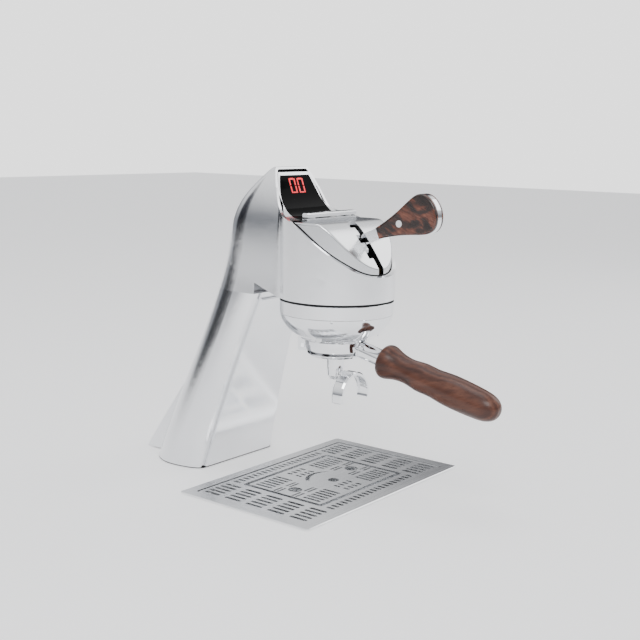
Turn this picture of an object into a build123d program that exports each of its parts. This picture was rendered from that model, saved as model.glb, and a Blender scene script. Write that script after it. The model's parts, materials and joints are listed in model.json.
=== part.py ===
from build123d import *
import math
import os

# Counter-mounted espresso tap with a portafilter, a gated lever, a shot timer and a
# drop-in drip tray.  Millimetres.  The part's origin is the centre of the base's stud
# pattern on the countertop, +Z up and +X to the barista's right; the barista stands at -Y.
# Every piece is modelled in the group's frame, whose Z axis is the group's own axis, and
# is moved back by REACH when it is written.

# ---------------------------------------------------------------- overall sizes
REACH = 215.0            # base stud pattern to the group's axis
HEAD_Z = 226.8           # lower face of the head above the counter
COUNTER = 30.0           # thickness of the counter that the base clamps
SHELL_WALL = 4.0
FIT = 0.3                # clearance between pieces that don't turn in one another
RUN = 0.05               # radial running clearance of a shaft

# ---------------------------------------------------------------- head and hood
HEAD_R = 68.0
HOOD_TOP = 149.0         # from HEAD_Z to the hood's highest point
HOOD_BLEND = 28.0        # concave radius where the head's drum meets the hood
SOFFIT_Y = 46.0          # where the underside starts to rise behind the group
SOFFIT_RISE = 13.5
# The rim of the drum and the mouth of the display, seen from the side: (y, z above HEAD_Z).
RIM = [(-72.0, 28.6), (-64.4, 30.4), (-51.1, 40.7), (-32.0, 56.0), (-5.5, 76.2), (16.7, 89.2), (37.0, 95.6)]
FACE = [(46.5, 99.5), (54.5, 110.5), (62.5, 130.0), (71.5, 149.5)]
# Hood stations: height above HEAD_Z, half width, y of the widest point, depth behind it.
HOOD = [(0.0, 53.0, 117.4, 51.2), (28.0, 51.2, 109.5, 49.5),
        (56.0, 50.0, 104.5, 48.0), (84.0, 48.6, 101.0, 46.0), (104.0, 46.2, 96.0, 40.5),
        (121.0, 41.5, 89.5, 31.5), (134.0, 36.6, 83.0, 21.5), (144.0, 32.0, 77.5, 12.5), (HOOD_TOP, 28.8, 74.0, 6.0)]

# ---------------------------------------------------------------- column
FOOT_HALF_W = 78.0       # half width of the foot at its bulge
FOOT_Y = 200.0           # y of the bulge
FOOT_BACK = 65.0
FRONT_FOOT_Y = 156.0     # flat front at the counter
FRONT_FOOT_HALF_W = 60.8
FRONT_HEAD_Y = 84.6      # flat front at the head
FRONT_HEAD_HALF_W = 34.1
FRONT_SAG = 4.0          # how far the front is hollow between foot and head
PANEL_T = 3.0
PANEL_TOP = 219.0
PANEL_LIP = 2.0
GASKET_T = 1.2
REAR_COVER_H = 132.0
REAR_COVER_OUT = 19.0
REAR_COVER_HALF_W = 40.0

# ---------------------------------------------------------------- base and counter fixing
BASE_T = 6.0
STUD_R = 3.9
STUD_PLAY = 1.2          # lets the tap be squared up on the counter
STUD_END_R = 3.4
STUD_SPAN_X = 70.0
STUD_SPAN_Y = 44.0
STUD_BELOW = 62.0
NUT_R = 7.5
NUT_H = 6.5
PASSAGE_R = 14.0         # hose passage through base and clamp plate
CLAMP_T = 5.0

# ---------------------------------------------------------------- group
GASKET_RING_T = 2.7
RING_R = 67.3
RING_H = 15.2
BOWL_TOP_R = 66.6
BOWL_H = 28.9
BOWL_FOOT_R = 44.6
BLOCK_R = 59.7
BLOCK_UP = 4.0           # how far the brew block stands above the head's lower face
PF_BORE_R = 39.5
EAR_R = 45.0
EAR_H = 6.0
EAR_HALF_DEG = 17.0
EAR_TURN_DEG = 45.0      # turn that locks the portafilter
GROOVE_GAP = 0.6
SEAL_OUT_R = 36.4
SEAL_IN_R = 30.2
SCREEN_R = 29.0

# ---------------------------------------------------------------- portafilter
PF_RIM_R = 38.9
PF_R = 37.0
PF_LOW_R = 33.5
PF_Z_RIM = 199.4         # top of its rim, against the seal
PF_Z_COLLAR = 178.6      # top of the part that shows below the bowl
PF_Z_FLOOR = 157.5
BASKET_R = 34.6
BASKET_T = 0.8
BASKET_DEPTH = 26.0
NECK_R = 10.6
NECK_Z = 127.0
SPOUT_Y = -23.0
SPOUT_HALF = 27.0
SPOUT_TOP_Z = 140.5
SPOUT_TIP_Z = 106.0
SPOUT_W = 15.0
SPOUT_T = 4.4
PF_DROOP = 13.6          # degrees that the handle drops towards the front
PF_AXIS_Z = 177.7       # height of the handle's line where it meets the group's axis
PF_TUBE_R = 10.0
PF_TUBE_END = 72.0
PF_WOOD = [(71.0, 14.5), (73.0, 18.4), (77.0, 20.0), (86.0, 18.2), (98.0, 15.4), (110.0, 14.9), (124.0, 16.6),
           (141.0, 16.4), (158.0, 17.7), (182.0, 18.0), (204.0, 16.9), (218.0, 14.0), (225.0, 9.0)]
PF_WOOD_END = 227.5

# ---------------------------------------------------------------- cap, gate and lever
CAP_R = 63.0
CAP_T = 3.0
CAP_TOP = 89.6           # above HEAD_Z
CAP_BACK = 18.8
# Side profile of the cap's top, front to back: (y, z above HEAD_Z).
CAP_SLOPE = [(-70.0, 28.0), (-46.0, 61.9), (-38.0, 72.0), (-30.0, 81.0), (-22.0, 87.4), (-13.0, CAP_TOP)]
SLOT_W = 9.4
SLOT_FRONT = -68.5
SLOT_BACK = -17.5
NOTCH_W = 7.5
NOTCH_L = 7.0
NOTCHES = (-24.0, -38.5, -51.0)
GATE_T = 1.5
PIVOT_Y = 12.0
PIVOT_Z = 18.0           # lever shaft above HEAD_Z
SHAFT_R = 4.0
HUB_R = 8.0
NECK_T = 5.9             # lever neck, across the slot
NECK_W = 8.0
ELBOW_Y = -42.5
ELBOW_Z = 71.4
LEVER_RISE = 22.7        # degrees
GRIP_START = 19.5        # from elbow to wood
# Half outline of the flat grip: (distance from the elbow, half width).
GRIP = [(GRIP_START, 6.6), (36.0, 9.5), (50.0, 12.9), (63.0, 16.9), (75.0, 20.8), (83.0, 22.4), (90.0, 21.4),
        (96.0, 17.0), (99.8, 10.6), (101.6, 4.2)]
NECK_OUT_W = 13.0        # neck outside the gate
TANG_T = 7.4             # flat steel between the two wooden scales
SCALE_T = 4.8
SCALE_ROUND = 2.6
PIN_R = 3.9
PIN_AT = 52.4            # rivet, from the elbow

# ---------------------------------------------------------------- timer and brew bar
BEZEL_W = 3.4
# Side view of the glass, from behind the bar up: (y, z above HEAD_Z).
GLASS_FACE = [(19.0, 90.3), (30.0, 91.6), (40.0, 95.6), (48.0, 102.4), (56.0, 112.6), (64.0, 131.0), (72.0, 149.0)]
GLASS_TOP = 139.5
GLASS_T = 2.5
DIGIT_H = 19.0
DIGIT_STROKE = 2.1
DIGIT_W = 11.0
DIGIT_PITCH = 14.6
BAR_HALF = 46.3
BAR_Y = 12.3
BAR_D = 12.0
BAR_BASE_H = 3.4
BAR_H = 4.6
BAR_TRAVEL = 1.5
BAR_STEM_R = 3.0

# ---------------------------------------------------------------- drip tray
TRAY_Y = 14.7
TRAY_W = 300.4
TRAY_D = 192.3
TRAY_RIM = 13.5
TRAY_RIM_T = 2.0
TRAY_DEPTH = 42.0
TRAY_WALL = 1.2
TRAY_CORNER = 4.0
TRAY_LEDGE = 5.0
GRATE_T = 1.2
GRATE_DROP = 0.9         # grate's face below the rim's
WELL_W = 162.0
WELL_D = 119.5
PLATE_GAP = 5.2
DRAIN_R = 12.0
DRAIN_LEN = 32.0
HOLE_R = 7.0
FINGER_R = 8.5
FINGER_X = 55.0

# ---------------------------------------------------------------- small fixed sizes
BASE_TOP = GASKET_T + BASE_T
GASKET_BAND = 14.0
STUD_HEAD_H = 5.0
CLAMP_EDGE = 14.0
INLET_R = 6.6            # G1/4 tail
FITTING_H = 14.0
HOSE_R = 5.0
HARNESS_R = 3.0
HARNESS_X = -17.0
WINDOW_W = 36.0          # service window behind the rear cover
WINDOW_Z = 16.0
WINDOW_H = 60.0
REAR_COVER_T = 2.5
HEAD_PLATE_T = 4.0
EAR_Z = 187.6
SEAL_H = 7.0
SCREEN_T = 1.2
SCREW_R = 2.0
SCREW_L = 12.0
BOWL_SCREW_PCR = 50.0
BOWL_SCREW_DEG = (0, -45, -135, 180, 145)
LOCK_SCREW_DEG = 194.0
MARK_DEG = 213.0
HEATER_XY = (-29.0, 25.0)
HEATER_R = 5.0
PROBE_XY = (20.0, 33.0)
PROBE_R = 2.0
VALVE_X = 40.0
VALVE_Y = 20.0
VALVE_W = 24.0
VALVE_H = 20.0
COIL_H = 24.0
LUG_R = 50.0
PF_BOSS_END = 41.0
SPOUT_BORE_R = 8.0
STUB_R = 5.6
SPRING_Z = 186.0
ROD_R = 5.0
ROD_END = 190.0
CAP_ROUND = 2.5
SEAL_PROUD = 0.9
HUB_HALF = 6.0
SHAFT_HALF = 19.5
EAR_X = 12.0
EAR_T = 4.0
BUSH_R = 6.0
BEZEL_T = 3.2
DIGIT_AT = 0.72
BOARD_Y = 70.0
BAR_STEM_X = 34.0
BAR_STEM_DROP = 8.0
SPRING_R = 4.4
GRATE_H = 6.0
GRATE_GAP = 1.5
SHELF_DROP = 7.0
HOLE_AT = (4.0, -11.5)


def lerp(a, b, t):
    return a + (b - a) * t


# ================================================================ shared outlines
def front_y(z):
    """The flat front of the column at height z."""
    t = z / HEAD_Z
    return lerp(FRONT_FOOT_Y, FRONT_HEAD_Y, t) + 4 * FRONT_SAG * t * (1 - t)


def front_half_w(z):
    return lerp(FRONT_FOOT_HALF_W, FRONT_HEAD_HALF_W, z / HEAD_Z)


def column_station(z):
    """Half width, y of the widest point and depth behind it, at height z on the column."""
    t = z / HEAD_Z
    head = HOOD[0]
    lean = lerp(FOOT_Y, head[2], t) + 4 * 3.2 * t * (1 - t) * (1 - 2 * t)
    return lerp(FOOT_HALF_W, head[1], t), lean, lerp(FOOT_BACK, head[3], t)


def back_curve(half_w, mid_y, depth):
    """The rounded back of a section, from its right side to its left."""
    turns = [math.pi * i / 8 for i in range(9)]
    points = [(half_w * math.cos(a), mid_y + depth * math.sin(a)) for a in turns]
    return Spline(*points)


def column_section(z, inset=0.0):
    half_w, mid_y, depth = column_station(z)
    half_w -= inset
    depth -= inset
    front = front_y(z) + (inset + PANEL_T if inset > 2 else inset)
    corner = front_half_w(z) - 0.7 * inset
    t = z / HEAD_Z
    turns = [math.pi * i / 8 for i in range(5)]
    fullness = lerp(1.0, 0.62, t)
    side = [(corner + (half_w - corner) * math.sin(a) ** fullness, lerp(front, mid_y, 1 - math.cos(a))) for a in turns]
    right = Spline(*side)
    left = Spline(*[(-x, y) for x, y in reversed(side)])
    edges = Curve() + [right, back_curve(half_w, mid_y, depth), left, Line((-corner, front), (corner, front))]
    return Pos(0, 0, z) * make_face(edges)


def hood_section(station, inset=0.0):
    """Drum and hood in one outline: the drum's arc, two hollow blends and a rounded back."""
    height, half_w, mid_y, depth = station
    half_w -= inset
    depth = max(depth - inset, 0.3 * depth)
    radius = HEAD_R - inset
    fade = min(1.0, max(0.0, height / 104.0))
    blend = lerp(HOOD_BLEND, 4.0, fade) + inset
    run = math.sqrt((radius + blend) ** 2 - (half_w + blend) ** 2)
    share = radius / (radius + blend)
    on_drum = (share * (half_w + blend), share * run)
    corner = math.atan2(run, half_w + blend)
    middle = (half_w + blend - blend * math.cos(0.5 * corner), run - blend * math.sin(0.5 * corner))
    drum = ThreePointArc((-on_drum[0], on_drum[1]), (0, -radius), on_drum)
    right = ThreePointArc(on_drum, middle, (half_w, run))
    left = ThreePointArc((-half_w, run), (-middle[0], middle[1]), (-on_drum[0], on_drum[1]))
    straight_r = Line((half_w, run), (half_w, mid_y))
    straight_l = Line((-half_w, mid_y), (-half_w, run))
    edges = Curve() + [drum, right, straight_r, back_curve(half_w, mid_y, depth), straight_l, left]
    return Pos(0, 0, HEAD_Z + height) * make_face(edges)


def slab(low, high, half=400.0):
    """A big flat slab between two heights, for trimming."""
    return Pos(0, 0, (low + high) / 2) * Box(2 * half, 2 * half, high - low)


def across(points, half_w):
    """A closed outline of (y, z) points, extruded to both sides of the middle plane."""
    face = Plane.YZ * make_face(Polyline(*points, close=True))
    return extrude(face, half_w, both=True)


def column_solid(inset=0.0, low=0.0, high=None):
    """The column between two heights, drawn past the head so that it flows into the hood."""
    high = HEAD_Z if high is None else high
    shares = (0.0, 0.22, 0.45, 0.7, 0.88, 1.0, 1.12)
    return loft([column_section(s * HEAD_Z, inset) for s in shares]) & slab(low, high)


def hood_solid(inset=0.0, low=0.0):
    """Drum and hood from a height above HEAD_Z up, started below it to flow from the column."""
    below = [(z,) + column_station(HEAD_Z + z) for z in (-48.0, -24.0)]
    top = (HOOD_TOP - 0.6 * inset,) + HOOD[-1][1:]
    stations = below + HOOD[:-1] + [top]
    return loft([hood_section(s, inset) for s in stations]) & slab(HEAD_Z + low, HEAD_Z + HOOD_TOP + 9)


def mouth_edge(drop=0.0):
    """Side view of the surface that closes the drum and the display, front to back."""
    points = [(y, HEAD_Z + z - drop) for y, z in RIM + FACE]
    return Spline(*points, tangents=[(1.0, 0.0), (0.42, 1.0)])


def mouth_cut(drop=0.0, push=0.0):
    """Everything in front of and above the drum's rim and the display's face."""
    edge = Pos(push, 0) * mouth_edge(drop)
    start = edge @ 0
    end = edge @ 1
    top = HEAD_Z + HOOD_TOP + 60
    back = end.X + (top - end.Y) * 0.42
    outline = Curve() + [edge, Polyline((end.X, end.Y), (back, top), (start.X - 30, top), (start.X - 30, start.Y),
                                        (start.X, start.Y))]
    return extrude(Plane.YZ * make_face(outline), 100, both=True)


def ring(outer, inner, low, high):
    body = Pos(0, 0, low) * extrude(Circle(outer), high - low)
    return body - Pos(0, 0, low) * extrude(Circle(inner), high - low)


def rod(radius, start, end):
    """A round bar between two points."""
    line = Vector(*end) - Vector(*start)
    plane = Plane(origin=start, z_dir=line)
    return extrude(plane * Circle(radius), line.length)


def block(x, y, z):
    """A box from (low, high) pairs."""
    size = [high - low for low, high in (x, y, z)]
    middle = [(high + low) / 2 for low, high in (x, y, z)]
    return Pos(*middle) * Box(*size)


def turned(profile, close=True):
    """A solid of revolution about the group's axis from (radius, height) points."""
    return revolve(Plane.XZ * make_face(Polyline(*profile, close=close)), Axis.Z)


def fuse(parts):
    body = parts[0]
    for part in parts[1:]:
        body = body + part
    return body


# ================================================================ heights of the group
GASKET_Z = HEAD_Z - GASKET_RING_T
RING_Z = GASKET_Z - RING_H
BOWL_Z = RING_Z - FIT
BOWL_FOOT_Z = BOWL_Z - BOWL_H
FLANGE_Z = HEAD_Z + SHELL_WALL
PLATE_Z = FLANGE_Z + HEAD_PLATE_T
SCREEN_Z = PF_Z_RIM + 0.8


# ================================================================ shell and covers
def soffit_cut(lift=0.0):
    """The wedge under the head, behind the group, that raises the shell's lower edge."""
    end_y = FRONT_HEAD_Y - 1 + lift
    start_y = SOFFIT_Y - 1.25 * lift
    wedge = across([(start_y, HEAD_Z - 1), (start_y, HEAD_Z + lift), (end_y, HEAD_Z + SOFFIT_RISE + lift),
                    (end_y, HEAD_Z - 1)], 90)
    return wedge - ring_hole(HEAD_R - lift, HEAD_Z - 2, HEAD_Z + SOFFIT_RISE + lift + 1)


def panel_strip(front, back, low, high):
    """A slab that follows the column's flat front, between two distances behind it."""
    steps = [lerp(low, high, i / 6) for i in range(7)]
    near = Spline(*[(front_y(z) + front, z) for z in steps])
    far = Spline(*[(front_y(z) + back, z) for z in steps])
    outline = Curve() + [near, Line(near @ 1, far @ 1), far, Line(far @ 0, near @ 0)]
    return extrude(Plane.YZ * make_face(outline), 90, both=True)


def body_shell(column, hood, cavity):
    shell = column + (hood - soffit_cut()) - cavity
    shell -= panel_strip(-5, PANEL_T + 0.2, -5, PANEL_TOP + FIT)
    shell -= block((-WINDOW_W / 2, WINDOW_W / 2), (FOOT_Y, FOOT_Y + 90), (WINDOW_Z, WINDOW_Z + WINDOW_H))
    return shell - mouth_cut()


def cavity_solid():
    """The inside of the shell, with the opening that the group hangs in."""
    column_in = column_solid(SHELL_WALL, -1, HEAD_Z + SHELL_WALL + 1)
    hood_in = hood_solid(SHELL_WALL, SHELL_WALL) - soffit_cut(SHELL_WALL)
    return column_in + hood_in + ring_hole(BLOCK_R + FIT, HEAD_Z - 1, FLANGE_Z + 1)


def ring_hole(radius, low, high):
    return Pos(0, 0, low) * extrude(Circle(radius), high - low)


def front_cover():
    """The flat front panel with its folded top lip."""
    low = GASKET_T + FIT
    foot_half = front_half_w(low)
    half = front_half_w(PANEL_TOP)
    outline = Polyline((-foot_half, low), (foot_half, low), (half, PANEL_TOP), (-half, PANEL_TOP), close=True)
    trim = extrude(Plane.XZ * make_face(outline), -2 * REACH)
    panel = panel_strip(0, PANEL_T, low, PANEL_TOP) & trim
    y = front_y(PANEL_TOP)
    return panel + block((-half, half), (y - PANEL_LIP, y + PANEL_T), (PANEL_TOP - 2, PANEL_TOP))


def rear_section(z, inset=0.0):
    share = 1 - z / REAR_COVER_H
    half_w, mid_y, depth = column_station(z)
    width = lerp(0.55 * REAR_COVER_HALF_W, REAR_COVER_HALF_W, share) - inset
    back = mid_y + depth + 1.0 + REAR_COVER_OUT * share ** 1.15 - inset
    front = mid_y + 0.45 * depth
    arc = Spline((width, front), (0.93 * width, back - 9), (0, back), (-0.93 * width, back - 9), (-width, front),
                 tangents=[(0, 1), (0, -1)])
    return Pos(0, 0, z) * make_face(Curve() + [arc, Line((-width, front), (width, front))])


def rear_cover():
    """The service cover low on the column's back."""
    heights = [0.0, 0.35 * REAR_COVER_H, 0.7 * REAR_COVER_H, REAR_COVER_H]
    outer = loft([rear_section(z) for z in heights]) & slab(GASKET_T, REAR_COVER_H)
    inner = loft([rear_section(z, REAR_COVER_T) for z in heights]) & slab(-1, 0.86 * REAR_COVER_H)
    keep_out = loft([column_section(s * HEAD_Z, -FIT) for s in (0.0, 0.22, 0.45, 0.7)])
    body = outer - keep_out - inner
    return body.solids().sort_by(SortBy.VOLUME)[-1]


# ================================================================ base and counter fixing
def stud_places():
    return [(sx * STUD_SPAN_X / 2, REACH + sy * STUD_SPAN_Y / 2) for sx in (-1, 1) for sy in (-1, 1)]


def base_gasket():
    gasket = column_solid(0.6, 0, GASKET_T) - column_solid(GASKET_BAND, -1, GASKET_T + 1)
    for x, y in stud_places():
        gasket -= rod(STUD_R + 2, (x, y, -1), (x, y, GASKET_T + 1))
    return gasket


def base_plate():
    plate = column_solid(SHELL_WALL + FIT, GASKET_T, BASE_TOP)
    for x, y in stud_places():
        plate -= rod(STUD_R + STUD_PLAY, (x, y, -1), (x, y, BASE_TOP + 1))
    return plate - rod(PASSAGE_R, (0, REACH, -1), (0, REACH, BASE_TOP + 1))


def mounting_studs():
    """Studs with a plain shank down to the clamp plate and a thinner threaded end for the nut."""
    studs = []
    nut_top = -COUNTER - CLAMP_T
    for x, y in stud_places():
        head = Pos(x, y, BASE_TOP) * extrude(RegularPolygon(NUT_R, 6), STUD_HEAD_H)
        shank = rod(STUD_R, (x, y, nut_top), (x, y, BASE_TOP))
        studs.append(head + shank + rod(STUD_END_R, (x, y, -STUD_BELOW), (x, y, nut_top)))
    return studs


def clamp_plate():
    half_x = STUD_SPAN_X / 2 + CLAMP_EDGE
    half_y = STUD_SPAN_Y / 2 + CLAMP_EDGE
    plate = block((-half_x, half_x), (REACH - half_y, REACH + half_y), (-COUNTER - CLAMP_T, -COUNTER))
    for x, y in stud_places():
        plate -= rod(STUD_R + STUD_PLAY, (x, y, -COUNTER - 9), (x, y, 0))
    plate -= rod(PASSAGE_R, (0, REACH, -COUNTER - 9), (0, REACH, 0))
    return fillet(plate.edges().filter_by(Axis.Z).group_by(Edge.length)[-1].sort_by(Axis.X)[:2], 6)


def mounting_nuts():
    nuts = []
    top = -COUNTER - CLAMP_T
    for x, y in stud_places():
        nut = Pos(x, y, top - NUT_H) * extrude(RegularPolygon(NUT_R, 6), NUT_H)
        nuts.append(nut - rod(STUD_END_R + RUN, (x, y, top - NUT_H - 1), (x, y, top + 1)))
    return nuts


def inlet_fitting():
    """Bulkhead fitting for the water hose, with its threaded tail below the counter."""
    hexagon = Pos(0, REACH, BASE_TOP) * extrude(RegularPolygon(PASSAGE_R + 4, 6), 6)
    spigot = rod(HOSE_R + 2, (0, REACH, BASE_TOP + 6), (0, REACH, BASE_TOP + FITTING_H))
    tail = rod(INLET_R, (0, REACH, -STUD_BELOW), (0, REACH, BASE_TOP))
    bore = rod(2.5, (0, REACH, -STUD_BELOW - 1), (0, REACH, BASE_TOP + FITTING_H + 1))
    return hexagon + spigot + tail - bore


def run_tube(radius, points, bends):
    """A tube of straight runs joined by tangent bends."""
    path = FilletPolyline(*points, radius=bends)
    start = Plane(origin=path @ 0, z_dir=path % 0)
    return sweep(start * Circle(radius), path=path)


def supply_hose():
    """Water hose from the bulkhead fitting to the valve, up the middle of the column."""
    start_y = VALVE_Y + VALVE_W / 2
    z = PLATE_Z + VALVE_H / 2 + 4
    points = [(VALVE_X, start_y, z), (VALVE_X, start_y + 18, z), (0, FRONT_HEAD_Y + 24, z + 4),
              (0, lerp(FOOT_Y, HOOD[0][2], 0.86) - 3, 0.84 * HEAD_Z),
              (0, lerp(FOOT_Y, HOOD[0][2], 0.42), 0.42 * HEAD_Z), (0, REACH, 0.2 * HEAD_Z),
              (0, REACH, BASE_TOP + FITTING_H)]
    return run_tube(HOSE_R, points, [10, 20, 40, 60, 30])


def wire_harness():
    """Lead from the timer's board down to the base, beside the hose."""
    points = [(HARNESS_X, BOARD_Y + 6, HEAD_Z + 104), (HARNESS_X, BOARD_Y + 22, HEAD_Z + 70),
              (HARNESS_X, HOOD[0][2], HEAD_Z), (HARNESS_X, lerp(FOOT_Y, HOOD[0][2], 0.45), 0.45 * HEAD_Z),
              (HARNESS_X, FOOT_Y - 6, 0.2 * HEAD_Z), (HARNESS_X, FOOT_Y - 6, BASE_TOP)]
    return run_tube(HARNESS_R, points, [30, 60, 60, 30])


# ================================================================ group
def shell_gasket():
    return ring(HEAD_R - 1, BLOCK_R + FIT, GASKET_Z, HEAD_Z)


def upper_ring():
    """The plain ring between the shell and the bowl."""
    body = ring(RING_R, BLOCK_R + FIT, RING_Z, GASKET_Z)
    return chamfer(body.edges().filter_by(GeomType.CIRCLE).sort_by(Edge.length)[-2:], 0.4)


def group_bowl():
    """Lower bowl with the bayonet groove that the portafilter's ears turn into."""
    outer = [(BOWL_TOP_R, BOWL_Z), (BOWL_TOP_R - 1.4, BOWL_Z - 6.6), (BOWL_TOP_R - 5.6, BOWL_Z - 14.1),
             (lerp(BOWL_FOOT_R, BOWL_TOP_R, 0.26), BOWL_Z - 24.2), (BOWL_FOOT_R, BOWL_FOOT_Z)]
    side = Spline(*outer, tangents=[(0, -1), (-0.75, -1)])
    inner = Polyline(outer[-1], (PF_BORE_R, BOWL_FOOT_Z), (PF_BORE_R, BOWL_Z), outer[0])
    body = revolve(Plane.XZ * make_face(Curve() + [side, inner]), Axis.Z)
    groove_low = EAR_Z - GROOVE_GAP
    groove_r = EAR_R + 1.0
    body -= ring_hole(groove_r, groove_low, EAR_Z + EAR_H + GROOVE_GAP)
    for side_deg in (0, 180):
        middle = side_deg - EAR_TURN_DEG
        body -= sector(groove_r, middle, EAR_HALF_DEG + 2.5, BOWL_FOOT_Z - 1, groove_low + 0.5)
    for screw in lock_screws():
        body -= screw
    mark = polar(BOWL_TOP_R + 2, MARK_DEG, BOWL_Z - 1.5)
    return body - rod(1.7, mark, polar(BOWL_TOP_R - 3, MARK_DEG, BOWL_Z - 1.5))


def polar(radius, degrees, z):
    return (radius * math.cos(math.radians(degrees)), radius * math.sin(math.radians(degrees)), z)


def sector(radius, middle_deg, half_deg, low, high):
    """A pie slice about the group's axis."""
    reach = radius * 1.6
    corners = [(0, 0)]
    for share in (-1, -0.5, 0, 0.5, 1):
        x, y, _ = polar(reach, middle_deg + share * half_deg, 0)
        corners.append((x, y))
    wedge = Pos(0, 0, low) * extrude(make_face(Polyline(*corners, close=True)), high - low)
    return wedge & ring_hole(radius, low, high)


def brew_block():
    """Heated block that carries the seal, the screen and the bowl."""
    boss = ring_hole(PF_BORE_R - FIT, SCREEN_Z, BOWL_Z + 0.01)
    disc = ring_hole(BLOCK_R, BOWL_Z, FLANGE_Z)
    body = boss + disc - ring(SEAL_OUT_R + 0.2, SEAL_IN_R - 0.2, SCREEN_Z - 1, PF_Z_RIM + SEAL_H)
    body -= rod(SCREW_R + RUN, (0, 0, SCREEN_Z - 1), (0, 0, SCREEN_Z + SCREW_L))
    for x, y, radius in (HEATER_XY + (HEATER_R,), PROBE_XY + (PROBE_R,)):
        body -= rod(radius + 0.1, (x, y, BOWL_Z + 3), (x, y, FLANGE_Z + 1))
    for x, y in bowl_screw_places():
        body -= rod(SCREW_R + 0.1, (x, y, BOWL_Z - 1), (x, y, FLANGE_Z + 1))
    return body


def bowl_screw_places():
    return [polar(BOWL_SCREW_PCR, angle, 0)[:2] for angle in BOWL_SCREW_DEG]


def bowl_screws():
    """Cap screws that hold the block to the head plate."""
    screws = []
    for x, y in bowl_screw_places():
        head = rod(SCREW_R * 1.8, (x, y, PLATE_Z), (x, y, PLATE_Z + 3))
        screws.append(head + rod(SCREW_R, (x, y, BOWL_Z), (x, y, PLATE_Z)))
    return screws


def lock_screws():
    """Round-headed screws at the bowl's lower edge."""
    screws = []
    for i in range(3):
        angle = LOCK_SCREW_DEG + 120 * i
        z = BOWL_FOOT_Z + 4.4
        start = polar(BOWL_FOOT_R + 1.0, angle, z)
        end = polar(BOWL_FOOT_R + 5.8, angle, z)
        screws.append(rod(4.0, start, end))
    return screws


def portafilter_seal():
    return ring(SEAL_OUT_R, SEAL_IN_R, PF_Z_RIM, PF_Z_RIM + SEAL_H)


def dispersion_screen():
    body = ring_hole(SCREEN_R, SCREEN_Z - SCREEN_T, SCREEN_Z)
    holes = [Circle(0.8).locate(Location((0, 0, 0)))]
    sketch = [Pos(*polar(7.5 * row, 360 / (8 * row) * i, 0)[:2]) * Circle(0.9)
              for row in (1, 2, 3) for i in range(8 * row)]
    body -= Pos(0, 0, SCREEN_Z - SCREEN_T - 1) * extrude(Sketch() + sketch, SCREEN_T + 2)
    return body - rod(SCREW_R + 0.1, (0, 0, SCREEN_Z - 3), (0, 0, SCREEN_Z + 1))


def screen_screw():
    z = SCREEN_Z - SCREEN_T
    return rod(SCREW_R * 2, (0, 0, z - 1.6), (0, 0, z)) + rod(SCREW_R, (0, 0, z), (0, 0, SCREEN_Z + SCREW_L - 1))


def head_plate():
    """Steel plate that hangs the group from the shell's inner flange."""
    body = ring_hole(HEAD_R - SHELL_WALL - 0.6, FLANGE_Z, PLATE_Z)
    for x, y, radius in (HEATER_XY + (HEATER_R,), PROBE_XY + (PROBE_R,)):
        body -= rod(radius + 0.1, (x, y, FLANGE_Z - 1), (x, y, PLATE_Z + 1))
    for x, y in bowl_screw_places():
        body -= rod(SCREW_R + 0.1, (x, y, FLANGE_Z - 1), (x, y, PLATE_Z + 1))
    return body


def heater_cartridge():
    x, y = HEATER_XY
    return rod(HEATER_R, (x, y, BOWL_Z + 3), (x, y, PLATE_Z + 8))


def temperature_probe():
    x, y = PROBE_XY
    return rod(PROBE_R, (x, y, BOWL_Z + 3), (x, y, PLATE_Z + 6)) + rod(PROBE_R + 2, (x, y, PLATE_Z), (x, y, PLATE_Z + 3))


def valve_body():
    half = VALVE_W / 2
    body = block((VALVE_X - half, VALVE_X + half), (VALVE_Y - half, VALVE_Y + half), (PLATE_Z, PLATE_Z + VALVE_H))
    return chamfer(body.edges().filter_by(Axis.Z), 2)


def valve_coil():
    half = VALVE_W / 2 - 2
    low = PLATE_Z + VALVE_H
    body = block((VALVE_X - half, VALVE_X + half), (VALVE_Y - half, VALVE_Y + half), (low, low + COIL_H))
    return fillet(body.edges().filter_by(Axis.Z), 3)


# ================================================================ portafilter
def portafilter_body():
    """Cup with two ears, a rear lug and the boss that takes the handle."""
    top = PF_Z_RIM - BASKET_T
    low = PF_Z_FLOOR
    outer = [(0, low), (PF_LOW_R - 3, low), (PF_LOW_R, low + 2.4), (lerp(PF_LOW_R, PF_R, 0.6), low + 8),
             (PF_R, low + 15), (PF_R, PF_Z_COLLAR - 2), (PF_RIM_R, PF_Z_COLLAR), (PF_RIM_R, top), (0, top)]
    body = turned(outer)
    for middle in (0, 180):
        body += sector(EAR_R, middle, EAR_HALF_DEG, EAR_Z, EAR_Z + EAR_H) - ring_hole(PF_RIM_R - 2, EAR_Z, EAR_Z + EAR_H)
    lug = sector(LUG_R, 90, 14, low + 1, PF_Z_COLLAR - 2) - ring_hole(LUG_R - 4, low + 5, PF_Z_COLLAR)
    body += lug - ring_hole(PF_LOW_R - 4, low, PF_Z_COLLAR)
    boss = rod(PF_TUBE_R + 0.5, pf_line(PF_LOW_R - 8), pf_line(PF_BOSS_END))
    body += boss
    body -= ring_hole(BASKET_R + 0.7, low + 3.5, top + 1)
    body -= ring_hole(SPOUT_BORE_R, low - 12, low + 4)
    body -= ring(BASKET_R + 1.9, BASKET_R, SPRING_Z - 0.9, SPRING_Z + 0.9)
    return body.solids().sort_by(SortBy.VOLUME)[-1]


def pf_line(distance):
    """A point on the portafilter handle's line, measured from the group's axis."""
    a = math.radians(PF_DROOP)
    return (0, -distance * math.cos(a), PF_AXIS_Z - distance * math.sin(a))


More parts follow.
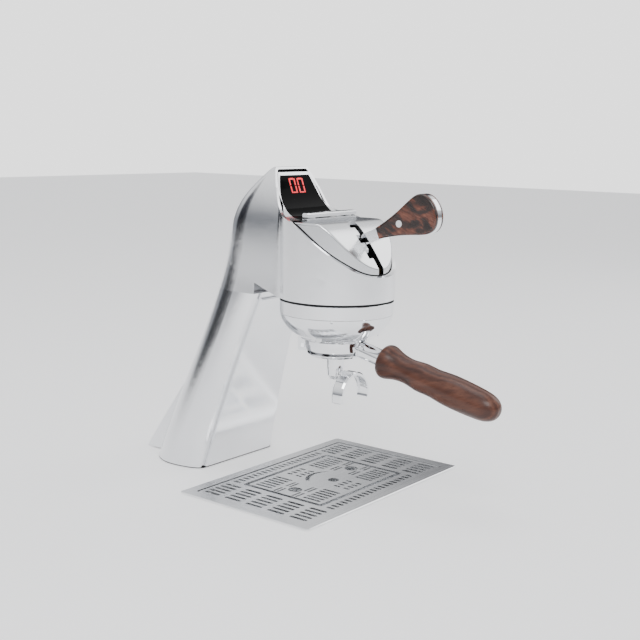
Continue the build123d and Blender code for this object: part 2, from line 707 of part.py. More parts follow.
def filter_basket():
    top = PF_Z_RIM
    cup = ring_hole(BASKET_R, top - BASKET_DEPTH, top) + ring_hole(PF_RIM_R - 0.4, top - BASKET_T, top)
    cup -= ring_hole(BASKET_R - BASKET_T, top - BASKET_DEPTH + BASKET_T, top + 1)
    holes = [Pos(*polar(6.2 * row, 360 / (7 * row) * i, 0)[:2]) * Circle(0.8)
             for row in (1, 2, 3, 4) for i in range(7 * row)]
    return cup - Pos(0, 0, top - BASKET_DEPTH - 1) * extrude(Sketch() + holes, BASKET_T + 2)


def basket_spring():
    return Pos(0, 0, SPRING_Z) * Torus(BASKET_R + 1.0, 0.6)


def spout_neck():
    low = NECK_Z
    top = PF_Z_FLOOR + 3.0
    profile = [(2.5, top), (SPOUT_BORE_R - RUN, top), (SPOUT_BORE_R - RUN, PF_Z_FLOOR), (NECK_R, PF_Z_FLOOR),
               (NECK_R - 0.5, low + 16), (NECK_R - 1.6, low + 6), (NECK_R - 4.2, low + 1.6), (2.5, low)]
    return turned(profile)


def spout_path_z():
    """Height of the arch's centre and its outer radius, from its span and its rise."""
    rise = SPOUT_TOP_Z - SPOUT_TIP_Z
    radius = (SPOUT_HALF ** 2 + rise ** 2) / (2 * rise)
    return SPOUT_TOP_Z - radius, radius


def double_spout():
    """Two open channels in one arch, on a short stub at the front of the neck."""
    centre_z, radius = spout_path_z()
    half = SPOUT_W / 2
    inner = radius - SPOUT_T
    wall = 1.5
    y = SPOUT_Y
    section = [(y - half, centre_z + radius - 1.5), (y - half + 2, centre_z + radius), (y + half - 2, centre_z + radius),
               (y + half, centre_z + radius - 1.5), (y + half, centre_z + inner), (y + half - wall, centre_z + inner),
               (y + half - wall, centre_z + radius - wall - 1), (y - half + wall, centre_z + radius - wall - 1),
               (y - half + wall, centre_z + inner), (y - half, centre_z + inner)]
    axis = Axis((0, y, centre_z), (0, 1, 0))
    face = Plane.YZ * make_face(Polyline(*section, close=True))
    swing = 180 - math.degrees(math.acos(min(1.0, max(-1.0, (centre_z - SPOUT_TIP_Z) / radius))))
    arms = revolve(face, axis, swing) + revolve(face, axis, -swing)
    stub_z = SPOUT_TOP_Z - STUB_R - 0.5
    stub = rod(STUB_R, (0, y + half - 1, stub_z), (0, 0, stub_z))
    return arms + (stub - ring_hole(NECK_R - 0.55, NECK_Z - 5, PF_Z_FLOOR))


def handle_tube():
    end = PF_TUBE_END
    body = rod(PF_TUBE_R, pf_line(PF_BOSS_END), pf_line(end))
    return body - rod(ROD_R + RUN, pf_line(PF_BOSS_END - 1), pf_line(end + 1))


def handle_tie_rod():
    return rod(ROD_R, pf_line(PF_BOSS_END), pf_line(ROD_END))


def along(line_start, direction, radii, end):
    """A turned grip: (distance, radius) points, closed by a rounded end."""
    plane = Plane(origin=line_start, x_dir=(1, 0, 0), z_dir=direction)
    first = radii[0]
    curve = Spline(*[(r, s) for s, r in radii], (0, end))
    outline = Curve() + [curve, Polyline((0, end), (0, first[0]), (first[1], first[0]))]
    solid = revolve(Plane.XZ * make_face(outline), Axis.Z)
    return plane.location * solid


def portafilter_grip():
    a = math.radians(PF_DROOP)
    direction = (0, -math.cos(a), -math.sin(a))
    wood = along((0, 0, PF_AXIS_Z), direction, PF_WOOD, PF_WOOD_END)
    wood -= rod(ROD_R + 0.1, pf_line(60), pf_line(ROD_END + FIT))
    return wood - rod(PF_TUBE_R + 0.1, pf_line(60), pf_line(PF_TUBE_END + 0.1))


# ================================================================ cap and gate
def cap_edge(drop=0.0):
    points = [(y, HEAD_Z + z - drop) for y, z in CAP_SLOPE]
    return Spline(*points, tangents=[(1.0, 1.42), (1.0, 0.0)])


def cap_profile(drop, low, back):
    """Side view of the cap: its slope and flat top, closed at a height below."""
    edge = cap_edge(drop)
    start = edge @ 0
    end = edge @ 1
    outline = Curve() + [edge, Polyline((end.X, end.Y), (back, end.Y), (back, low), (start.X, low), (start.X, start.Y))]
    return extrude(Plane.YZ * make_face(outline), 90, both=True)


def slot_cut(grow=0.0, half_x=0.0):
    """The lever's slot with its notches on the left, as a tall cutter."""
    half = SLOT_W / 2 + grow
    low = PLATE_Z + 12
    high = HEAD_Z + CAP_TOP + 10
    cutter = block((-half, half), (SLOT_FRONT - grow, SLOT_BACK + grow), (low, high))
    for y in NOTCHES:
        cutter += block((-half - NOTCH_W, 0), (y - NOTCH_L / 2, y + NOTCH_L / 2), (low, high))
    return cutter


def top_cap():
    outer = ring_hole(CAP_R, PLATE_Z, HEAD_Z + CAP_TOP + 1) & cap_profile(0, PLATE_Z, CAP_BACK)
    inner = ring_hole(CAP_R - CAP_T, PLATE_Z - 1, HEAD_Z + CAP_TOP + 1) & cap_profile(CAP_T + 0.9, PLATE_Z - 1, CAP_BACK + 1)
    outer = fillet(outer.edges().filter_by(lambda e: abs(e.length) > 60 and e.center().Z > HEAD_Z + 45), CAP_ROUND)
    body = outer - inner - slot_cut()
    for x in bar_stem_places():
        body -= rod(BAR_STEM_R + RUN, (x, BAR_Y, HEAD_Z + CAP_TOP - 9), (x, BAR_Y, HEAD_Z + CAP_TOP + 3))
    return body


def gate_liner():
    """Black plate under the cap that lines the lever's slot."""
    drop = CAP_T + 1.1
    strip = cap_profile(drop, PLATE_Z, -10) - cap_profile(drop + GATE_T, PLATE_Z - 1, -9)
    strip &= block((-15, 15), (-CAP_R + CAP_T + 2.5, -10), (PLATE_Z + 14, HEAD_Z + CAP_TOP))
    return strip - slot_cut(0.3)


def rim_seal():
    """Dark seal in the gap between the cap and the shell's rim."""
    body = ring(HEAD_R - SHELL_WALL - 0.15, CAP_R + 0.15, PLATE_Z, HEAD_Z + CAP_TOP)
    return (body & block((-90, 90), (-90, CAP_BACK - 0.5), (PLATE_Z, HEAD_Z + 200))) - mouth_cut(-SEAL_PROUD)


# ================================================================ lever
def elbow():
    return (0, ELBOW_Y, HEAD_Z + ELBOW_Z)


def lever_line(distance):
    """A point on the grip's line, measured from the elbow."""
    a = math.radians(LEVER_RISE)
    return (0, ELBOW_Y - distance * math.cos(a), HEAD_Z + ELBOW_Z + distance * math.sin(a))


def bar_between(start, end, thick, width, extra=0.0):
    """A flat bar of thickness along X between two points of the middle plane."""
    line = Vector(*end) - Vector(*start)
    plane = Plane(origin=start, x_dir=(1, 0, 0), z_dir=line)
    return extrude(plane * Rectangle(thick, width), line.length + extra)


def pivot():
    return (0, PIVOT_Y, HEAD_Z + PIVOT_Z)


def lever_neck():
    """Cranked steel lever: hub on the shaft, arm through the slot, and a full tang between the scales."""
    x, y, z = pivot()
    hub = rod(HUB_R, (-HUB_HALF, y, z), (HUB_HALF, y, z))
    arm = bar_between(pivot(), elbow(), NECK_T, NECK_W)
    neck = bar_between(elbow(), lever_line(GRIP_START + 1), TANG_T, NECK_OUT_W)
    joint = rod(NECK_OUT_W / 2, (-TANG_T / 2,) + elbow()[1:], (TANG_T / 2,) + elbow()[1:])
    body = hub + arm + neck + joint + grip_slab(-TANG_T / 2, TANG_T)
    body -= rod(SHAFT_R, (-HUB_HALF - 1, y, z), (HUB_HALF + 1, y, z))
    return body - grip_rivet(PIN_R + RUN)


def lever_shaft():
    x, y, z = pivot()
    return rod(SHAFT_R, (-SHAFT_HALF, y, z), (SHAFT_HALF + 8, y, z))


def lever_bracket():
    """Two ears on a foot, screwed to the head plate."""
    x, y, z = pivot()
    foot = block((-EAR_X - EAR_T, EAR_X + EAR_T), (y - 10, y + 10), (PLATE_Z, PLATE_Z + 1.6))
    body = foot
    for side in (-1, 1):
        low, high = sorted((side * EAR_X, side * (EAR_X + EAR_T)))
        ear = block((low, high), (y - 10, y + 10), (PLATE_Z, z)) + rod(10, (low, y, z), (high, y, z))
        body += ear - rod(BUSH_R, (low - 1, y, z), (high + 1, y, z))
    return body


def lever_bushes():
    x, y, z = pivot()
    bushes = []
    for side in (-1, 1):
        low, high = sorted((side * EAR_X, side * (EAR_X + EAR_T)))
        bushes.append(rod(BUSH_R - RUN, (low, y, z), (high, y, z)) - rod(SHAFT_R + RUN, (low - 1, y, z), (high + 1, y, z)))
    return bushes


def position_sensor():
    """Angle sensor on the shaft's right-hand end."""
    x, y, z = pivot()
    low = EAR_X + EAR_T
    body = block((low, low + 9), (y - 9, y + 9), (z - 9, z + 9))
    return chamfer(body.edges().filter_by(Axis.X), 2) - rod(SHAFT_R + RUN, (low - 1, y, z), (low + 10, y, z))


def grip_slab(low_x, thick):
    """The grip's outline as a slab of even thickness along X."""
    a = math.radians(LEVER_RISE)
    plane = Plane(origin=(low_x,) + elbow()[1:], x_dir=(0, -math.cos(a), math.sin(a)), z_dir=(1, 0, 0))
    edge = Spline(*(GRIP + [(s, -w) for s, w in reversed(GRIP)]))
    return extrude(plane * make_face(Curve() + [edge, Line(edge @ 1, edge @ 0)]), thick)


def grip_rivet(radius, half=30.0):
    x, y, z = lever_line(PIN_AT)
    return rod(radius, (-half, y, z), (half, y, z))


def lever_grip():
    """Two wooden scales, one on each side of the tang."""
    scales = []
    for low_x, outer in ((TANG_T / 2, 1), (-TANG_T / 2 - SCALE_T, 0)):
        scale = grip_slab(low_x, SCALE_T)
        face = scale.faces().sort_by(Axis.X)[-1 if outer else 0]
        scales.append(fillet(face.edges(), SCALE_ROUND) - grip_rivet(PIN_R + RUN))
    return scales


def lever_pin():
    """Rivet through scales and tang."""
    return grip_rivet(PIN_R, TANG_T / 2 + SCALE_T + 0.15)


# ================================================================ timer
def glass_edge(drop=0.0):
    """Side view of the glass's face, from the bar's back edge up."""
    points = [(y, HEAD_Z + z) for y, z in GLASS_FACE]
    edge = Spline(*points)
    return Pos(drop, -0.45 * drop) * edge


def face_band(near, far):
    """A sheet along the glass's face, between two distances behind it."""
    front = glass_edge(near)
    back = glass_edge(far)
    outline = Curve() + [front, Line(front @ 1, back @ 1), back, Line(back @ 0, front @ 0)]
    return extrude(Plane.YZ * make_face(outline), 90, both=True)


def face_front(inset, low, high, flare=False):
    """The hood's front view between two heights, its sides drawn in by an inset."""
    rows = [(h, w) for h, w, _, _ in HOOD if low < h < high]
    rows = [(low, hood_half_w(low))] + rows + [(high, hood_half_w(high))]
    side = [(w - inset, HEAD_Z + h) for h, w in rows]
    if flare:
        mouth = HEAD_Z + FACE[0][1] + 3
        wide = [(HEAD_R, side[0][1]), (HEAD_R, mouth - 4), (hood_half_w(mouth - HEAD_Z) - inset, mouth)]
        side = wide + [(x, z) for x, z in side if z > mouth]
    right = Polyline(*side)
    left = Polyline(*[(-x, z) for x, z in reversed(side)])
    outline = Curve() + [right, Line(side[-1], (-side[-1][0], side[-1][1])), left, Line((-side[0][0], side[0][1]), side[0])]
    return extrude(Plane.XZ * make_face(outline), -200)


def hood_half_w(height):
    """Half width of the hood at a height above HEAD_Z."""
    for (h0, w0, _, _), (h1, w1, _, _) in zip(HOOD, HOOD[1:]):
        if height <= h1:
            return lerp(w0, w1, (height - h0) / (h1 - h0))
    return HOOD[-1][1]


def display_glass():
    low = GLASS_FACE[0][1] - 12
    body = face_band(0, GLASS_T) & face_front(SHELL_WALL + BEZEL_W, low, GLASS_TOP)
    for digit in led_digits():
        body -= digit
    return body


def display_bezel():
    """Bright frame that closes the hood's mouth round the glass."""
    low = GLASS_FACE[0][1] - 12
    plan = extrude(Pos(0, 0, -40) * hood_section((104.0,) + HOOD[5][1:], SHELL_WALL + FIT), 130)
    frame = face_band(-0.3, BEZEL_T) & face_front(SHELL_WALL + FIT, low, HOOD_TOP - 1.5 * SHELL_WALL, True) & plan
    return frame - face_front(SHELL_WALL + BEZEL_W, low - 9, GLASS_TOP)


def digit_plane():
    """The plane of the digits: level with the glass where it is nearly flat."""
    edge = glass_edge()
    at = DIGIT_AT
    point = edge @ at
    slope = edge % at
    return Plane(origin=(0, point.X, point.Y), x_dir=(1, 0, 0), z_dir=(0, -slope.Y, slope.X))


def led_digits():
    """Two seven-segment zeros."""
    plane = digit_plane()
    stroke = DIGIT_STROKE
    half_w = DIGIT_W / 2
    half_h = DIGIT_H / 2
    faces = []
    for centre in (-DIGIT_PITCH / 2, DIGIT_PITCH / 2):
        for side in (-1, 1):
            x = centre + side * (half_w - stroke / 2)
            for up in (-1, 1):
                faces.append(Pos(x, up * half_h / 2) * Rectangle(stroke, half_h - 1.1))
        for up in (-1, 1):
            faces.append(Pos(centre, up * (half_h - stroke / 2)) * Rectangle(DIGIT_W - 2 * stroke - 0.5, stroke))
    return [extrude(plane * (Pos(0, 0, -0.9) * face), 1.15) for face in faces]


def display_board():
    plane = digit_plane()
    return extrude(plane * (Pos(0, 0, -GLASS_T - 2.0) * Rectangle(36, 26)), 1.6)


# ================================================================ brew bar
def bar_stem_places():
    return (-BAR_STEM_X, BAR_STEM_X)


def bar_base():
    low = HEAD_Z + CAP_TOP
    body = block((-BAR_HALF, BAR_HALF), (BAR_Y - BAR_D / 2, BAR_Y + BAR_D / 2), (low, low + BAR_BASE_H))
    body = chamfer(body.edges().filter_by(Axis.Z), 2.6)
    for x in bar_stem_places():
        body -= rod(BAR_STEM_R + RUN, (x, BAR_Y, low - 1), (x, BAR_Y, low + BAR_BASE_H + 1))
        body -= rod(SPRING_R + 0.3, (x, BAR_Y, low + BAR_BASE_H - 1.4), (x, BAR_Y, low + BAR_BASE_H + 1))
    return body


def bar_button():
    low = HEAD_Z + CAP_TOP + BAR_BASE_H + BAR_TRAVEL + 0.1
    body = block((-BAR_HALF, BAR_HALF), (BAR_Y - BAR_D / 2, BAR_Y + BAR_D / 2), (low, low + BAR_H))
    body = chamfer(body.edges().filter_by(Axis.Z), 2.6)
    top = body.faces().sort_by(Axis.Z)[-1]
    body = chamfer(top.edges(), 1.3)
    for x in bar_stem_places():
        body += rod(BAR_STEM_R, (x, BAR_Y, HEAD_Z + CAP_TOP - BAR_STEM_DROP), (x, BAR_Y, low + 1))
    return body


def bar_springs():
    low = HEAD_Z + CAP_TOP + BAR_BASE_H - 1.4
    high = HEAD_Z + CAP_TOP + BAR_BASE_H + BAR_TRAVEL + 0.1
    return [Pos(x, BAR_Y, 0) * ring(SPRING_R, BAR_STEM_R + 0.5, low, high) for x in bar_stem_places()]


def bar_switches():
    top = HEAD_Z + CAP_TOP - CAP_T - 0.9
    low = HEAD_Z + CAP_TOP - BAR_STEM_DROP - BAR_TRAVEL - 0.3
    switches = []
    for x in bar_stem_places():
        side = 1 if x > 0 else -1
        body = block((x - 5, x + 5), (BAR_Y + 4, BAR_Y + 12), (low - 6, top))
        arm = block((x - 4, x + 4), (BAR_Y - 4, BAR_Y + 4.5), (low - 2, low))
        switches.append(body + arm)
    return switches


# ================================================================ drip tray
def tray_pan():
    """Drop-in pan with a flat rim, a ledge for the grate and a drain hole."""
    rim = RectangleRounded(TRAY_W, TRAY_D, TRAY_CORNER)
    inner_w = TRAY_W - 2 * TRAY_RIM
    inner_d = TRAY_D - 2 * TRAY_RIM
    body = extrude(rim, TRAY_RIM_T)
    body = chamfer(body.faces().sort_by(Axis.Z)[-1].edges(), 0.7)
    tub = RectangleRounded(inner_w + 2 * TRAY_WALL, inner_d + 2 * TRAY_WALL, 5)
    body += Pos(0, 0, -TRAY_DEPTH) * extrude(tub, TRAY_DEPTH)
    grate_z = TRAY_RIM_T - GRATE_DROP - GRATE_H
    body -= Pos(0, 0, grate_z) * extrude(RectangleRounded(inner_w, inner_d, 4), 40)
    deep = RectangleRounded(inner_w - 2 * TRAY_LEDGE, inner_d - 2 * TRAY_LEDGE, 3)
    body -= Pos(0, 0, -TRAY_DEPTH + TRAY_WALL) * extrude(deep, 60)
    wide = RectangleRounded(inner_w, inner_d, 4)
    body -= Pos(0, 0, -TRAY_DEPTH + TRAY_WALL) * extrude(wide, grate_z + TRAY_DEPTH - 2 * TRAY_WALL)
    body -= ring_hole(DRAIN_R - 2, -TRAY_DEPTH - 1, -TRAY_DEPTH + 4)
    return Pos(0, TRAY_Y, 0) * body


def tray_drain():
    low = -TRAY_DEPTH - DRAIN_LEN
    flange = ring(DRAIN_R + 5, DRAIN_R - 3.5, -TRAY_DEPTH - 2.5, -TRAY_DEPTH)
    return Pos(0, TRAY_Y, 0) * (flange + ring(DRAIN_R, DRAIN_R - 3.5, low, -TRAY_DEPTH))


def slots(x_list, y_list, length, width, turn=90):
    return [Pos(x, y) * Rot(0, 0, turn) * SlotOverall(length, width) for x in x_list for y in y_list]


def spread(first, last, count):
    return [lerp(first, last, i / (count - 1)) for i in range(count)]


def grate_slots():
    """Slots of the outer grate: blocks at both ends, and rows behind and in front."""
    end_x = (WELL_W / 2 + TRAY_W / 2 - TRAY_RIM) / 2 + 1
    columns = spread(end_x - 17.6, end_x + 17.6, 5)
    rows = spread(-TRAY_D / 2 + TRAY_RIM + 18, TRAY_D / 2 - TRAY_RIM - 18, 5)
    cuts = slots(columns, rows, 24, 4.8) + slots([-x for x in columns], rows, 24, 4.8)
    band_y = (WELL_D / 2 + TRAY_D / 2 - TRAY_RIM) / 2
    band = spread(-WELL_W / 2 + 3, WELL_W / 2 - 3, 20)
    return cuts + slots(band, (-band_y, band_y), 11, 4.4)


def outer_grate():
    """Perforated frame with turned-down edges and a shelf for the centre plate."""
    width = TRAY_W - 2 * TRAY_RIM - 2 * GRATE_GAP
    depth = TRAY_D - 2 * TRAY_RIM - 2 * GRATE_GAP
    well = RectangleRounded(WELL_W, WELL_D, 3)
    sheet = RectangleRounded(width, depth, 4) - well - (Sketch() + grate_slots())
    top = TRAY_RIM_T - GRATE_DROP
    body = Pos(0, 0, top - GRATE_T) * extrude(sheet, GRATE_T)
    edge = RectangleRounded(width, depth, 4) - RectangleRounded(width - 4, depth - 4, 3)
    body += Pos(0, 0, top - GRATE_H) * extrude(edge, GRATE_H)
    lip = RectangleRounded(WELL_W + 3, WELL_D + 3, 4) - well
    body += Pos(0, 0, top - SHELF_DROP) * extrude(lip, SHELF_DROP)
    shelf = RectangleRounded(WELL_W + 3, WELL_D + 3, 4) - RectangleRounded(WELL_W - 18, WELL_D - 18, 3)
    body += Pos(0, 0, top - SHELF_DROP - 1.5) * extrude(shelf, 1.5)
    return Pos(0, TRAY_Y, 0) * body


def plate_slots():
    """Slots of the centre plate around its plain disc."""
    half_w = WELL_W / 2 - PLATE_GAP
    half_d = WELL_D / 2 - PLATE_GAP
    corner_x = spread(half_w - 44, half_w - 7, 6)
    row_y = half_d - 18
    cuts = slots(corner_x, (-row_y, row_y), 25, 4.2) + slots([-x for x in corner_x], (-row_y, row_y), 25, 4.2)
    cuts += slots(spread(-12, 12, 4), (-row_y - 7, -row_y + 7, row_y - 7, row_y + 7), 9, 4.0)
    for side in (-1, 1):
        for y in (-14, 14):
            for x in (FINGER_X - 12, FINGER_X + 12):
                cuts += slots([side * x], (y - 2.6, y + 2.6), 18, 2.6, 0)
        cuts.append(Pos(side * FINGER_X, 0) * Circle(FINGER_R))
    cuts.append(Pos(HOLE_AT[0], HOLE_AT[1]) * Circle(HOLE_R))
    return cuts


def crescent():
    """The curved slot beside the centre hole."""
    outer = ThreePointArc((-20, 12), (4, 23.5), (28, 12))
    inner = ThreePointArc((28, 12), (4, 19), (-17, 8.5))
    tip = Line((-17, 8.5), (-20, 12))
    return make_face(Curve() + [outer, inner, tip])


def centre_plate():
    """Lift-out plate that stands on the grate's shelf."""
    width = WELL_W - 2 * PLATE_GAP
    depth = WELL_D - 2 * PLATE_GAP
    sheet = RectangleRounded(width, depth, 3) - (Sketch() + plate_slots()) - crescent()
    top = TRAY_RIM_T - GRATE_DROP
    body = Pos(0, 0, top - GRATE_T) * extrude(sheet, GRATE_T)
    edge = RectangleRounded(width, depth, 3) - RectangleRounded(width - 3, depth - 3, 2)
    body += Pos(0, 0, top - SHELF_DROP) * extrude(edge, SHELF_DROP)
    return Pos(0, TRAY_Y, 0) * body


# ================================================================ writing
def write(name, shape):
    """Write one node, moved from the group's frame to the part's."""
    items = shape if isinstance(shape, list) else [shape]
    solids = [Pos(0, -REACH, 0) * solid for item in items for solid in item.solids()]
    export_step(Compound(children=solids) if len(solids) > 1 else solids[0], f"parts/{name}.step")


def main():
    os.makedirs("parts", exist_ok=True)
    column = column_solid(0, GASKET_T, HEAD_Z)
    cavity = cavity_solid()
    write("body_shell", body_shell(column, hood_solid(), cavity))
    write("front_cover", front_cover())
    write("rear_cover", rear_cover())
    write("base_gasket", base_gasket())
    write("base_plate", base_plate())
    write("mounting_studs", mounting_studs())
    write("clamp_plate", clamp_plate())
    write("mounting_nuts", mounting_nuts())
    write("inlet_fitting", inlet_fitting())
    write("supply_hose", supply_hose())
    write("wire_harness", wire_harness())
    write("shell_gasket", shell_gasket())
    write("upper_ring", upper_ring())
    write("group_bowl", group_bowl())
    write("brew_block", brew_block())
    write("bowl_screws", bowl_screws())
    write("lock_screws", lock_screws())
    write("portafilter_seal", portafilter_seal())
    write("dispersion_screen", dispersion_screen())
    write("screen_screw", screen_screw())
    write("head_plate", head_plate())
    write("heater_cartridge", heater_cartridge())
    write("temperature_probe", temperature_probe())
    write("valve_body", valve_body())
    write("valve_coil", valve_coil())
    write("portafilter_body", portafilter_body())
    write("filter_basket", filter_basket())
    write("basket_spring", basket_spring())
    write("spout_neck", spout_neck())
    write("double_spout", double_spout())
    write("handle_tube", handle_tube())
    write("handle_tie_rod", handle_tie_rod())
    write("portafilter_grip", portafilter_grip())
    write("top_cap", top_cap())
    write("gate_liner", gate_liner())
    write("rim_seal", rim_seal())
    write("lever_neck", lever_neck())
    write("lever_shaft", lever_shaft())
    write("lever_bracket", lever_bracket())
    write("lever_bushes", lever_bushes())
    write("position_sensor", position_sensor())
    write("lever_grip", lever_grip())
    write("lever_pin", lever_pin())
    write("display_bezel", display_bezel())
    write("display_glass", display_glass())
    write("led_digits", led_digits())
    write("display_board", display_board())
    write("bar_base", bar_base())
    write("bar_button", bar_button())
    write("bar_springs", bar_springs())
    write("bar_switches", bar_switches())
    write("tray_pan", tray_pan())
    write("tray_drain", tray_drain())
    write("outer_grate", outer_grate())
    write("centre_plate", centre_plate())


if __name__ == "__main__":
    main()
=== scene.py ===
import json
import math

import bmesh
import bpy
from mathutils import Matrix, Vector

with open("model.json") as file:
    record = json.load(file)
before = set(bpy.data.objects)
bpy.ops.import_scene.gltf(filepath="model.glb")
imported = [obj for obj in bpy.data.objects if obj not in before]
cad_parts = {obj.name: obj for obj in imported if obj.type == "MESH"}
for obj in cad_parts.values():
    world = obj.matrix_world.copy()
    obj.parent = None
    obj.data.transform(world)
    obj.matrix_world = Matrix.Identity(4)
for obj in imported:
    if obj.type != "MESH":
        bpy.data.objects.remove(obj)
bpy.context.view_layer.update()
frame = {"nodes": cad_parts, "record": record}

# Places in the row frame, in metres.
TRAY_CENTRE = (0.0, -0.2003)
CUTOUT_HALF = (0.141, 0.0875)
FLOOR_Z = -0.0003
FLOOR_R = 7.0
FLAG_TOWARDS = ((0.945, 0.30, 0.13), (-0.42, 0.90, 0.10))
STUDIO_STRENGTH = 1.45
BACKDROP_STRENGTH = 2.6
CAMERA_AT = (math.radians(-51.68), math.radians(9.74), math.radians(0.89))
CAMERA_TARGET = (0.07324, -0.13247, 0.180)
CAMERA_DISTANCE = 1.39547
CAMERA_LENS = 61.30
PORTAFILTER_DROOP = math.radians(-13.6)
LEVER_RISE = math.radians(22.7)


# ---------------------------------------------------------------- camera, floor and light
def add_camera():
    """The camera stands where the photograph was taken from."""
    azimuth, elevation, roll = CAMERA_AT
    flat = math.cos(elevation)
    back = Vector((math.sin(azimuth) * flat, -math.cos(azimuth) * flat, math.sin(elevation)))
    level = Vector((math.cos(azimuth), math.sin(azimuth), 0))
    upright = back.cross(level)
    right = level * math.cos(roll) + upright * math.sin(roll)
    up = -level * math.sin(roll) + upright * math.cos(roll)
    place = Vector(CAMERA_TARGET) + back * CAMERA_DISTANCE
    camera = bpy.data.cameras.new("camera")
    camera.sensor_width = 36
    camera.lens = CAMERA_LENS
    camera.clip_start = 0.02
    camera.clip_end = 30
    holder = bpy.data.objects.new("camera", camera)
    turn = Matrix((right, up, back)).transposed().to_4x4()
    holder.matrix_world = Matrix.Translation(place) @ turn
    bpy.context.collection.objects.link(holder)
    bpy.context.scene.camera = holder


def add_floor(material):
    """A pale counter top with the tray's cut-out in it."""
    shape = bmesh.new()
    cx, cy = TRAY_CENTRE
    hx, hy = CUTOUT_HALF
    corners = ((-1, -1), (1, -1), (1, 1), (-1, 1))
    inner = [shape.verts.new((cx + sx * hx, cy + sy * hy, FLOOR_Z)) for sx, sy in corners]
    outer = [shape.verts.new((sx * FLOOR_R, sy * FLOOR_R, FLOOR_Z)) for sx, sy in corners]
    for i in range(4):
        j = (i + 1) % 4
        shape.faces.new((outer[i], outer[j], inner[j], inner[i]))
    mesh = bpy.data.meshes.new("counter")
    shape.to_mesh(mesh)
    shape.free()
    floor = bpy.data.objects.new("counter", mesh)
    floor.data.materials.append(material)
    bpy.context.collection.objects.link(floor)


def add_light(name, place, target, size, power):
    """A soft rectangular light that faces a point."""
    light = bpy.data.lights.new(name, "AREA")
    light.shape = "RECTANGLE"
    light.size, light.size_y = size
    light.energy = power
    holder = bpy.data.objects.new(name, light)
    holder.location = place
    holder.rotation_euler = (Vector(target) - Vector(place)).to_track_quat("-Z", "Y").to_euler()
    bpy.context.collection.objects.link(holder)


def add_world():
    """White studio: bright above, grey at the horizon, with dark flags at the sides.

    Polished metal shows the flags as edges. The backdrop that the camera sees has its own strength.
    """
    world = bpy.data.worlds.new("studio")
    world.use_nodes = True
    tree = world.node_tree
    nodes, links = tree.nodes, tree.links
    place = nodes.new("ShaderNodeTexCoord").outputs["Generated"]
    split = nodes.new("ShaderNodeSeparateXYZ")
    links.new(place, split.inputs[0])
    height = between(tree, split.outputs["Z"], 0.0, 1.0, -1.0, 1.0)
    shades = ramp(tree, height,
                  [(0.0, (0.70, 0.70, 0.71)), (0.46, (0.30, 0.31, 0.33)), (0.52, (0.20, 0.21, 0.23)),
                   (0.62, (0.72, 0.73, 0.75)), (0.78, (1.0, 1.0, 1.0)), (0.92, (0.82, 0.83, 0.85)),
                   (1.0, (0.62, 0.63, 0.66))])
    for direction in FLAG_TOWARDS:
        towards = nodes.new("ShaderNodeVectorMath")
        towards.operation = "DOT_PRODUCT"
        towards.inputs[1].default_value = direction
        links.new(place, towards.inputs[0])
        flag = ramp(tree, towards.outputs["Value"],
                    [(0.90, (1.0, 1.0, 1.0)), (0.955, (0.07, 0.07, 0.08)), (1.0, (0.04, 0.04, 0.05))])
        shades = mixed(tree, 1.0, shades, flag, "MULTIPLY")
    studio = nodes["Background"]
    links.new(shades, studio.inputs["Color"])
    studio.inputs["Strength"].default_value = STUDIO_STRENGTH
    backdrop = nodes.new("ShaderNodeBackground")
    backdrop.inputs["Strength"].default_value = BACKDROP_STRENGTH
    seen = nodes.new("ShaderNodeLightPath")
    choice = nodes.new("ShaderNodeMixShader")
    links.new(seen.outputs["Is Camera Ray"], choice.inputs[0])
    links.new(studio.outputs[0], choice.inputs[1])
    links.new(backdrop.outputs[0], choice.inputs[2])
    links.new(choice.outputs[0], nodes["World Output"].inputs["Surface"])
    bpy.context.scene.world = world


# ---------------------------------------------------------------- node helpers
def ramp(tree, fac, stops):
    """Colour ramp over a value, from (position, colour) stops."""
    node = tree.nodes.new("ShaderNodeValToRGB")
    band = node.color_ramp.elements
    for i, (at, colour) in enumerate(stops):
        stop = band[i] if i < 2 else band.new(at)
        stop.position = at
        stop.color = (*colour, 1)
    tree.links.new(fac, node.inputs["Fac"])
    return node.outputs["Color"]


def object_place(tree, scale=(1, 1, 1), turn=(0, 0, 0)):
    """The row frame's coordinates, turned and then stretched."""
    coordinates = tree.nodes.new("ShaderNodeTexCoord")
    align = tree.nodes.new("ShaderNodeMapping")
    align.inputs["Rotation"].default_value = turn
    tree.links.new(coordinates.outputs["Object"], align.inputs["Vector"])
    stretch = tree.nodes.new("ShaderNodeMapping")
    stretch.inputs["Scale"].default_value = scale
    tree.links.new(align.outputs["Vector"], stretch.inputs["Vector"])
    return stretch.outputs["Vector"]


def noise(tree, place, scale, detail=3.0, roughness=0.55, distortion=0.0):
    node = tree.nodes.new("ShaderNodeTexNoise")
    node.inputs["Scale"].default_value = scale
    node.inputs["Detail"].default_value = detail
    node.inputs["Roughness"].default_value = roughness
    node.inputs["Distortion"].default_value = distortion
    tree.links.new(place, node.inputs["Vector"])
    return node.outputs["Fac"]


def wave(tree, place, scale, distortion, detail=3.0):
    node = tree.nodes.new("ShaderNodeTexWave")
    node.inputs["Scale"].default_value = scale
    node.inputs["Distortion"].default_value = distortion
    node.inputs["Detail"].default_value = detail
    node.inputs["Detail Scale"].default_value = 1.2
    tree.links.new(place, node.inputs["Vector"])
    return node.outputs["Fac"]


def between(tree, value, low, high, from_low=0.25, from_high=0.75):
    """A noise value spread between two limits."""
    node = tree.nodes.new("ShaderNodeMapRange")
    node.inputs["From Min"].default_value = from_low
    node.inputs["From Max"].default_value = from_high
    node.inputs["To Min"].default_value = low
    node.inputs["To Max"].default_value = high
    tree.links.new(value, node.inputs["Value"])
    return node.outputs["Result"]


